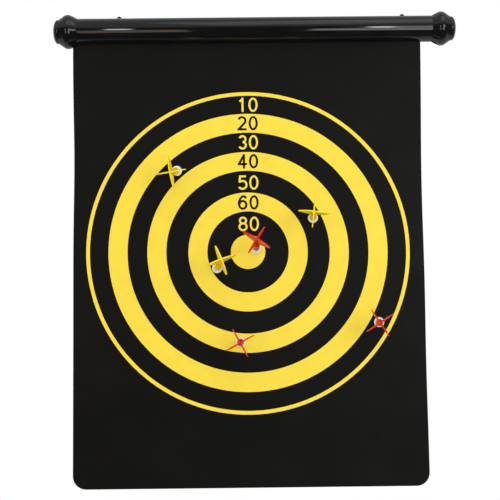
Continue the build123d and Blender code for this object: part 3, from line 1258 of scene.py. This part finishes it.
SOFT_BOXES = (
    # two low boxes, one on each side of the camera
    SoftBox("left_box", (-0.62, -1.34, -0.10), (0.6, 0.5), 1.6, tint="FFE2C8"),
    SoftBox("right_box", (0.66, -1.34, -0.10), (0.7, 0.42), 3.0),
    SoftBox("top_bank", (0.6, -1.3, 2.3), (2.6, 1.6), 0.8),
    SoftBox("fill", (0.0, -2.5, 0.9), (2.2, 2.2), 0.85, glossy=False),
    SoftBox("sheen_box", (1.0, -1.3, 0.36), (0.8, 0.42), 2.9, tint="F3F6F4"),
    # two small strong ones for the bright spots on the caps
    SoftBox("left_glint", (-0.62, -1.2, 0.34), (0.12, 0.2), 11.0),
    SoftBox("right_glint", (0.62, -1.2, 0.34), (0.12, 0.2), 11.0),
    # cards level with the board's edges rake past its face and light what stands on it
    SoftBox("rim_card", (-1.1, -0.3, 0.1), (0.5, 0.9), 2.4, glossy=False, aim_rise=0.0),
    SoftBox("rim_card", (1.1, -0.3, 0.1), (0.5, 0.9), 2.4, glossy=False, aim_rise=0.0),
    SoftBox("rim_card", (0, -0.3, 1.3), (1.2, 0.5), 2.4, glossy=False, aim_rise=0.0),
)


@dataclass
class Studio:
    """A white cove, dim on the viewer's side, with its camera, soft boxes and a pale floor."""

    distance: float = 1.3347
    camera_drop: float = 0.1059
    camera_shift: float = -0.0057
    pitch: float = 4.614
    roll: float = 0.625
    yaw: float = -0.329
    lens: float = 94.02
    floor_drop: float = 0.52
    floor_radius: float = 4.0

    def __post_init__(self) -> None:
        """Find the target's centre, which the camera and lights are set from."""
        low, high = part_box("print_rings")
        self.target = (low + high) / 2

    def build(self) -> None:
        """Set the camera, the lights, the world and the floor."""
        self.set_camera()
        for box in SOFT_BOXES:
            box.hang(self.target)
        self.set_world()
        self.set_floor()
        bpy.context.scene.view_settings.view_transform = "Standard"

    def set_camera(self) -> None:
        """Place the camera in front of the target, below its middle, looking slightly up."""
        camera = bpy.data.cameras.new("camera")
        camera.lens = self.lens
        camera.sensor_width = 36
        holder = bpy.data.objects.new("camera", camera)
        spot = self.target + Vector((self.camera_shift, -self.distance, -self.camera_drop))
        aim = (
            Matrix.Rotation(math.radians(self.yaw), 4, "Z")
            @ Matrix.Rotation(math.radians(90 + self.pitch), 4, "X")
            @ Matrix.Rotation(math.radians(-self.roll), 4, "Z")
        )
        holder.matrix_world = Matrix.Translation(spot) @ aim
        bpy.context.scene.collection.objects.link(holder)
        bpy.context.scene.camera = holder

    def set_world(self) -> None:
        """Make a world that is white behind the board and dim in front of it."""
        world = bpy.data.worlds.new("cove")
        bpy.context.scene.world = world
        world.use_nodes = True
        tree = world.node_tree
        tree.nodes.clear()
        spot = add_node(tree, "ShaderNodeTexCoord")
        axes = add_node(tree, "ShaderNodeSeparateXYZ", {0: spot.outputs["Generated"]})
        behind = add_node(
            tree, "ShaderNodeMapRange",
            {"Value": axes.outputs["Y"], "From Min": -0.2, "From Max": 0.2, "To Min": 0.0, "To Max": 0.6},
        )
        above = add_node(
            tree, "ShaderNodeMapRange",
            {"Value": axes.outputs["Z"], "From Min": 0.3, "From Max": 0.38, "To Min": 0.03, "To Max": 0.5},
        )
        glow = add_node(
            tree, "ShaderNodeMath", {0: behind.outputs[0], 1: above.outputs[0]}, operation="MAXIMUM"
        )
        path = add_node(tree, "ShaderNodeLightPath")
        seen = add_node(
            tree, "ShaderNodeMath",
            {0: path.outputs["Is Camera Ray"], 1: glow.outputs[0]},
            operation="MAXIMUM",
        )
        light = add_node(tree, "ShaderNodeBackground", {"Color": (1, 1, 1, 1), "Strength": seen.outputs[0]})
        add_node(tree, "ShaderNodeOutputWorld", {"Surface": light.outputs[0]})

    def set_floor(self) -> None:
        """Lay a plain pale floor under the hanging board."""
        low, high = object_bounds()
        floor = new_primitive(
            bpy.ops.mesh.primitive_circle_add, "floor", vertices=96, radius=self.floor_radius,
            fill_type="NGON", location=(0, 0, low.z - self.floor_drop),
        )
        settle(floor)
        paint = bpy.data.materials.new("pale_floor_paint")
        paint.use_nodes = True
        tree = paint.node_tree
        shader = tree.nodes["Principled BSDF"]
        shader.inputs["Roughness"].default_value = 0.9
        spot = add_node(tree, "ShaderNodeTexCoord")
        mottle = add_node(tree, "ShaderNodeTexNoise", {"Vector": spot.outputs["Object"], "Scale": 3.0})
        shade = add_node(
            tree, "ShaderNodeMix",
            {"Factor": mottle.outputs[0], "A": linear("F4F4F2"), "B": linear("EDEDEB")},
            data_type="RGBA",
        )
        tree.links.new(shade.outputs["Result"], shader.inputs["Base Color"])
        floor.data.materials.append(paint)
        floor.visible_glossy = False
        floor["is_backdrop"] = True


def main() -> None:
    """Build the dartboard around its frame, piece by piece."""
    logging.basicConfig(level=logging.INFO, format="%(name)s: %(message)s")
    Studio().build()
    Roller().build()
    moulded = GlossPlastic("abs_gloss_moulded", "0A0A0B", 0.07, Grain.MOULDED, 3.5, 0.02).material()
    for side in (-1, 1):
        EndCap(side).build(moulded)
    TargetSheet().build()
    build_darts()


if __name__ == "__main__":
    main()
